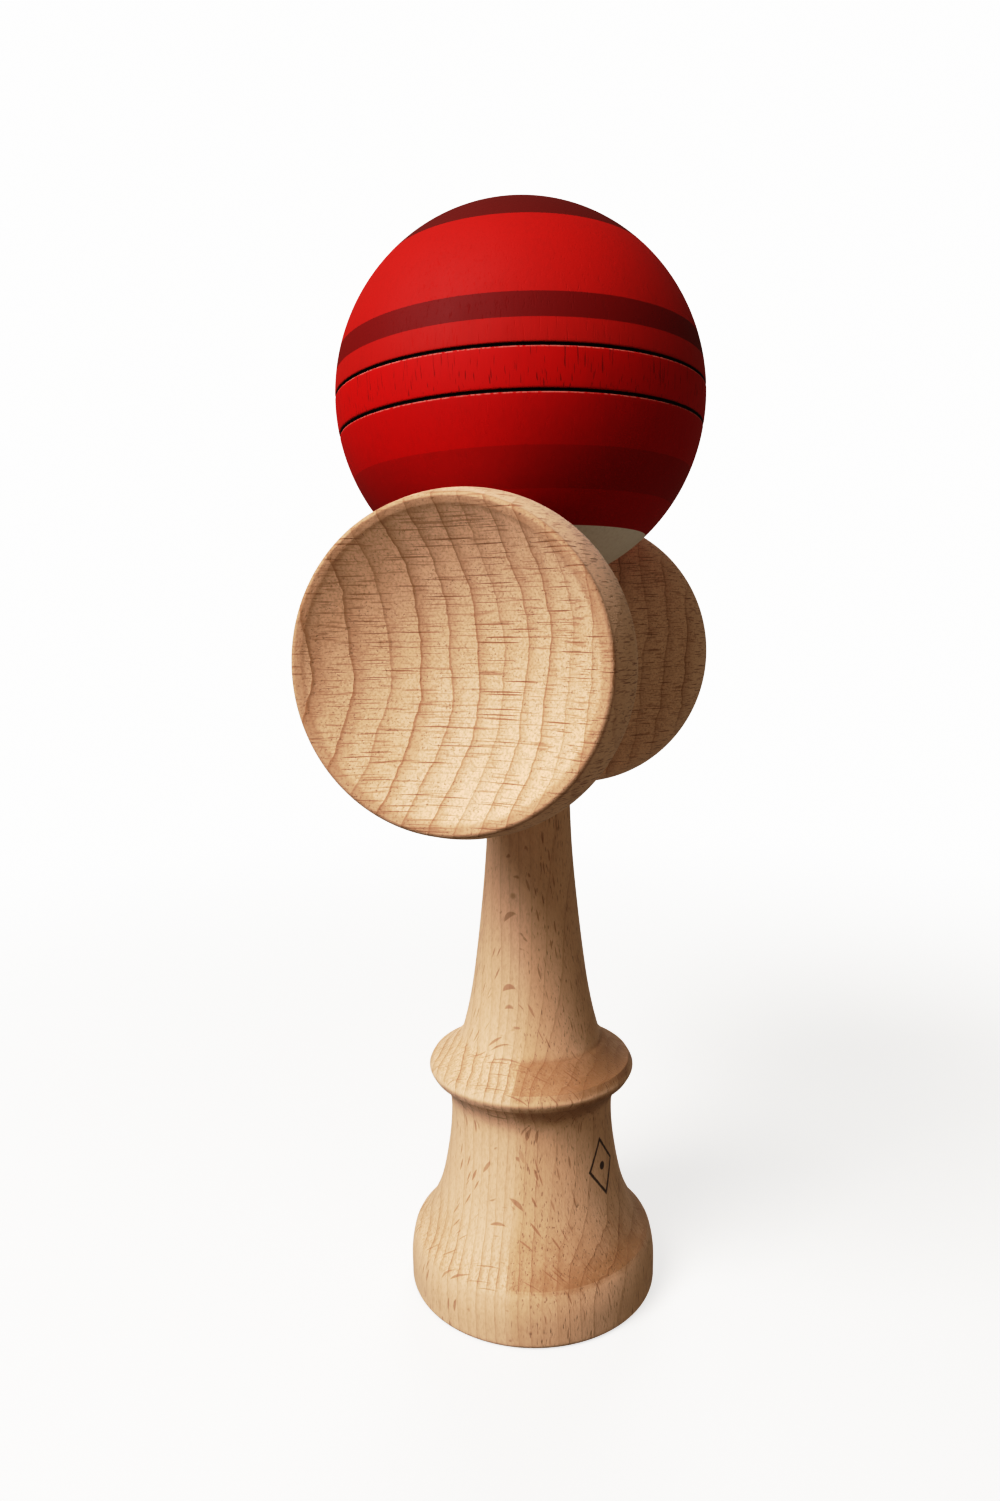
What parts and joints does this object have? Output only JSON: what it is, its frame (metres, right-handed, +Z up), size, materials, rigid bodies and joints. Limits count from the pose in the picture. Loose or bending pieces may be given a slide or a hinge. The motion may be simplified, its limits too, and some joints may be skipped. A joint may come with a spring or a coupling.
{
  "type": "kendama",
  "caption": "Turned wooden ball-and-cup toy: spiked handle with base cup, crosspiece with a big and a small cup, and a drilled, grooved ball resting on the spike.",
  "frame": {"origin": "on the ken's axis, at the rim of the base cup that the toy stands on", "axes": "+Z up the ken to the spike, +X along the crosspiece towards the big cup, +Y completes the frame"},
  "size_m": [0.0776, 0.06, 0.1827],
  "materials": {
    "ken_beech": "fine-sanded natural beech, matte",
    "sarado_beech": "fine-sanded natural beech, end grain in the cups, matte",
    "tama_lacquer": "satin red lacquer on beech, cream foot, burnt grooves"
  },
  "bodies": {
    "ken": {"ken": "ken_beech"},
    "sarado": {"sarado": "sarado_beech"},
    "tama": {"tama": "tama_lacquer"}
  },
  "joints": [
    {"name": "sarado_draw", "type": "slide", "parent": "ken", "child": "sarado", "axis": [0, 0, 1], "range_m": [0, 0.065]},
    {"name": "tama_lift", "type": "slide", "parent": "sarado", "child": "tama", "axis": [0, 0, 1], "range_m": [0, 0.05]}
  ]
}
